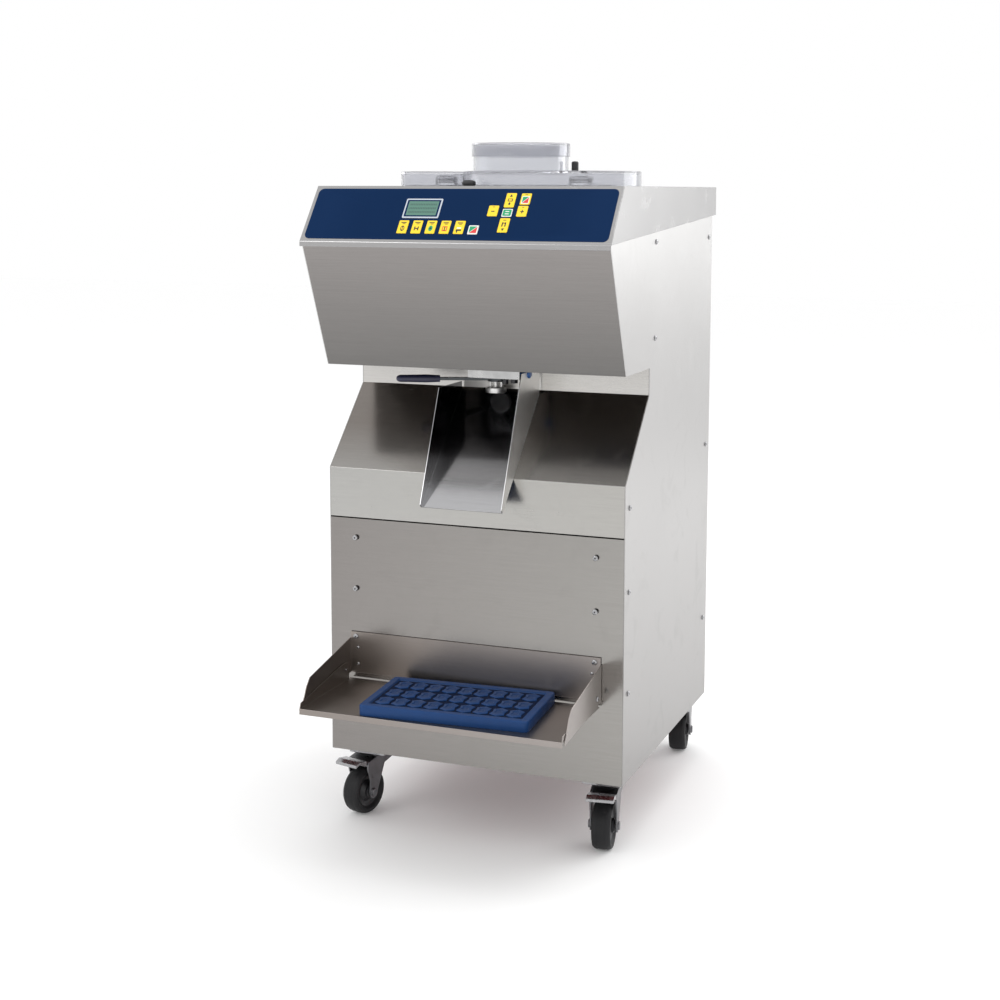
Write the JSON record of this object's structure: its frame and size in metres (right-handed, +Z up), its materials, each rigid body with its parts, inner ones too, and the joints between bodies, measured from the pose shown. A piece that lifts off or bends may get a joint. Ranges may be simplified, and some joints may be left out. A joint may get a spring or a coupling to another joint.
{
  "type": "soft serve machine",
  "caption": "Upright steel batch machine on castors with a slanted keypad, clear lids, an outlet with lever and chute, and a fold-up shelf with a rubber mat.",
  "frame": {"origin": "middle of the machine's box, on the floor under the wheels", "axes": "+Z up, -Y towards the person who uses it, +X to that person's right"},
  "size_m": [0.5254, 0.7885, 1.156],
  "materials": {
    "brushed_steel": "brushed",
    "frame_paint": "satin",
    "keypad_navy": "satin",
    "key_yellow": "satin",
    "key_white": "satin",
    "display": "glossy",
    "clear_plastic": "clear",
    "navy_rubber": "matt",
    "black_plastic": "satin",
    "chromed": "polished",
    "zinc_plate": "zinc plated",
    "tyre_rubber": "matt",
    "stainless_inside": "satin",
    "insulation": "foam skin",
    "machine_paint": "satin",
    "fin_aluminium": "mill",
    "white_plastic": "satin",
    "grey_plastic": "satin"
  },
  "bodies": {
    "cabinet": {"base_frame": "frame_paint", "side_panel_left": "brushed_steel", "side_panel_right": "brushed_steel", "rear_panel": "brushed_steel", "top_cover": "brushed_steel", "head_front_panel": "brushed_steel", "control_fascia": "brushed_steel", "keypad_membrane": "keypad_navy", "display_window": "display", "recess_panel": "brushed_steel", "lower_front_panel": "brushed_steel", "button_head_screws": "zinc_plate", "shelf_bracket": "brushed_steel", "discharge_chute": "brushed_steel", "outlet_block": "stainless_inside", "lid_hinges": "stainless_inside", "freezing_cylinder": "stainless_inside", "mix_tank": "stainless_inside", "evaporator_jacket": "insulation", "gear_motor": "machine_paint", "compressor": "machine_paint", "condenser": "fin_aluminium", "electrical_box": "grey_plastic", "castor_plates": "zinc_plate"},
    "fork_front_left": {"fork_front_left": "zinc_plate"},
    "wheel_front_left": {"wheel_front_left": "tyre_rubber"},
    "brake_pedal_front_left": {"brake_pedal_front_left": "zinc_plate"},
    "fork_front_right": {"fork_front_right": "zinc_plate"},
    "wheel_front_right": {"wheel_front_right": "tyre_rubber"},
    "brake_pedal_front_right": {"brake_pedal_front_right": "zinc_plate"},
    "fork_rear_left": {"fork_rear_left": "zinc_plate"},
    "wheel_rear_left": {"wheel_rear_left": "tyre_rubber"},
    "fork_rear_right": {"fork_rear_right": "zinc_plate"},
    "wheel_rear_right": {"wheel_rear_right": "tyre_rubber"},
    "large_lid": {"large_lid": "clear_plastic", "lid_plug": "black_plastic"},
    "filling_cap": {"filling_cap": "clear_plastic"},
    "small_lid": {"small_lid": "clear_plastic"},
    "latch_knob": {"latch_knob": "black_plastic"},
    "gate_lever": {"gate_lever": "stainless_inside", "lever_grip": "black_plastic"},
    "clamp_knob": {"clamp_knob": "chromed"},
    "key_program_1": {"key_program_1": "key_yellow"},
    "key_program_2": {"key_program_2": "key_yellow"},
    "key_program_3": {"key_program_3": "key_yellow"},
    "key_program_4": {"key_program_4": "key_yellow"},
    "key_program_5": {"key_program_5": "key_yellow"},
    "key_start_stop": {"key_start_stop": "key_white"},
    "key_up": {"key_up": "key_yellow"},
    "key_run": {"key_run": "key_white"},
    "key_minus": {"key_minus": "key_yellow"},
    "key_set": {"key_set": "key_yellow"},
    "key_plus": {"key_plus": "key_yellow"},
    "key_down": {"key_down": "key_yellow"},
    "tray": {"shelf_tray": "brushed_steel", "rubber_mat": "navy_rubber"},
    "dasher": {"dasher": "stainless_inside", "scraper_blades": "white_plastic", "drive_shaft": "stainless_inside"},
    "condenser_fan": {"condenser_fan": "grey_plastic"}
  },
  "joints": [
    {"name": "swivel_front_left", "type": "hinge", "parent": "cabinet", "child": "fork_front_left", "pos_m": [-0.212, -0.12625, 0.1], "axis": [0, 0, 1], "continuous": true},
    {"name": "roll_front_left", "type": "hinge", "parent": "fork_front_left", "child": "wheel_front_left", "pos_m": [-0.22119, -0.16312, 0.04], "axis": [0.9703, -0.2419, 0], "continuous": true},
    {"name": "brake_front_left", "type": "hinge", "parent": "fork_front_left", "child": "brake_pedal_front_left", "pos_m": [-0.22289, -0.16991, 0.09], "axis": [0.9703, -0.2419, 0], "range_deg": [0, 15]},
    {"name": "swivel_front_right", "type": "hinge", "parent": "cabinet", "child": "fork_front_right", "pos_m": [0.212, -0.12625, 0.1], "axis": [0, 0, 1], "continuous": true},
    {"name": "roll_front_right", "type": "hinge", "parent": "fork_front_right", "child": "wheel_front_right", "pos_m": [0.21729, -0.16388, 0.04], "axis": [0.9903, 0.1392, 0], "continuous": true},
    {"name": "brake_front_right", "type": "hinge", "parent": "fork_front_right", "child": "brake_pedal_front_right", "pos_m": [0.21826, -0.17081, 0.09], "axis": [0.9903, 0.1392, 0], "range_deg": [0, 15]},
    {"name": "swivel_rear_left", "type": "hinge", "parent": "cabinet", "child": "fork_rear_left", "pos_m": [-0.212, 0.31545, 0.1], "axis": [0, 0, 1], "continuous": true},
    {"name": "roll_rear_left", "type": "hinge", "parent": "fork_rear_left", "child": "wheel_rear_left", "pos_m": [-0.20281, 0.35232, 0.04], "axis": [-0.9703, 0.2419, 0], "continuous": true},
    {"name": "swivel_rear_right", "type": "hinge", "parent": "cabinet", "child": "fork_rear_right", "pos_m": [0.212, 0.31545, 0.1], "axis": [0, 0, 1], "continuous": true},
    {"name": "roll_rear_right", "type": "hinge", "parent": "fork_rear_right", "child": "wheel_rear_right", "pos_m": [0.20671, 0.35308, 0.04], "axis": [-0.9903, -0.1392, 0], "continuous": true},
    {"name": "large_lid_hinge", "type": "hinge", "parent": "cabinet", "child": "large_lid", "pos_m": [0.057, 0.17925, 1.096], "axis": [-1, 0, 0], "range_deg": [0, 95]},
    {"name": "filling_cap_lift", "type": "slide", "parent": "large_lid", "child": "filling_cap", "axis": [0, 0, 1], "range_m": [0, 0.08]},
    {"name": "small_lid_hinge", "type": "hinge", "parent": "cabinet", "child": "small_lid", "pos_m": [-0.154, 0.06125, 1.096], "axis": [-1, 0, 0], "range_deg": [0, 95]},
    {"name": "latch_turn", "type": "hinge", "parent": "cabinet", "child": "latch_knob", "pos_m": [-0.038, -0.12625, 1.085], "axis": [0, 0, 1], "range_deg": [0, 90]},
    {"name": "gate_turn", "type": "hinge", "parent": "cabinet", "child": "gate_lever", "pos_m": [0, -0.09925, 0.762], "axis": [0, 0, 1], "range_deg": [0, 70]},
    {"name": "clamp_knob_turn", "type": "hinge", "parent": "cabinet", "child": "clamp_knob", "pos_m": [0, -0.09925, 0.75], "axis": [0, 0, 1], "continuous": true},
    {"name": "key_program_1_press", "type": "slide", "parent": "cabinet", "child": "key_program_1", "axis": [0, 0.793, -0.6093], "range_m": [0, 0.0006], "stiffness_N_per_m": 400},
    {"name": "key_program_2_press", "type": "slide", "parent": "cabinet", "child": "key_program_2", "axis": [0, 0.793, -0.6093], "range_m": [0, 0.0006], "stiffness_N_per_m": 400},
    {"name": "key_program_3_press", "type": "slide", "parent": "cabinet", "child": "key_program_3", "axis": [0, 0.793, -0.6093], "range_m": [0, 0.0006], "stiffness_N_per_m": 400},
    {"name": "key_program_4_press", "type": "slide", "parent": "cabinet", "child": "key_program_4", "axis": [0, 0.793, -0.6093], "range_m": [0, 0.0006], "stiffness_N_per_m": 400},
    {"name": "key_program_5_press", "type": "slide", "parent": "cabinet", "child": "key_program_5", "axis": [0, 0.793, -0.6093], "range_m": [0, 0.0006], "stiffness_N_per_m": 400},
    {"name": "key_start_stop_press", "type": "slide", "parent": "cabinet", "child": "key_start_stop", "axis": [0, 0.793, -0.6093], "range_m": [0, 0.0006], "stiffness_N_per_m": 400},
    {"name": "key_up_press", "type": "slide", "parent": "cabinet", "child": "key_up", "axis": [0, 0.793, -0.6093], "range_m": [0, 0.0006], "stiffness_N_per_m": 400},
    {"name": "key_run_press", "type": "slide", "parent": "cabinet", "child": "key_run", "axis": [0, 0.793, -0.6093], "range_m": [0, 0.0006], "stiffness_N_per_m": 400},
    {"name": "key_minus_press", "type": "slide", "parent": "cabinet", "child": "key_minus", "axis": [0, 0.793, -0.6093], "range_m": [0, 0.0006], "stiffness_N_per_m": 400},
    {"name": "key_set_press", "type": "slide", "parent": "cabinet", "child": "key_set", "axis": [0, 0.793, -0.6093], "range_m": [0, 0.0006], "stiffness_N_per_m": 400},
    {"name": "key_plus_press", "type": "slide", "parent": "cabinet", "child": "key_plus", "axis": [0, 0.793, -0.6093], "range_m": [0, 0.0006], "stiffness_N_per_m": 400},
    {"name": "key_down_press", "type": "slide", "parent": "cabinet", "child": "key_down", "axis": [0, 0.793, -0.6093], "range_m": [0, 0.0006], "stiffness_N_per_m": 400},
    {"name": "tray_fold", "type": "hinge", "parent": "cabinet", "child": "tray", "pos_m": [0, -0.22925, 0.272], "axis": [-1, 0, 0], "range_deg": [0, 80]},
    {"name": "dasher_spin", "type": "hinge", "parent": "cabinet", "child": "dasher", "pos_m": [0.057, 0.01775, 0.9], "axis": [0, 0, 1], "continuous": true},
    {"name": "fan_spin", "type": "hinge", "parent": "cabinet", "child": "condenser_fan", "pos_m": [0.02, 0.25575, 0.33], "axis": [0, 1, 0], "continuous": true}
  ]
}
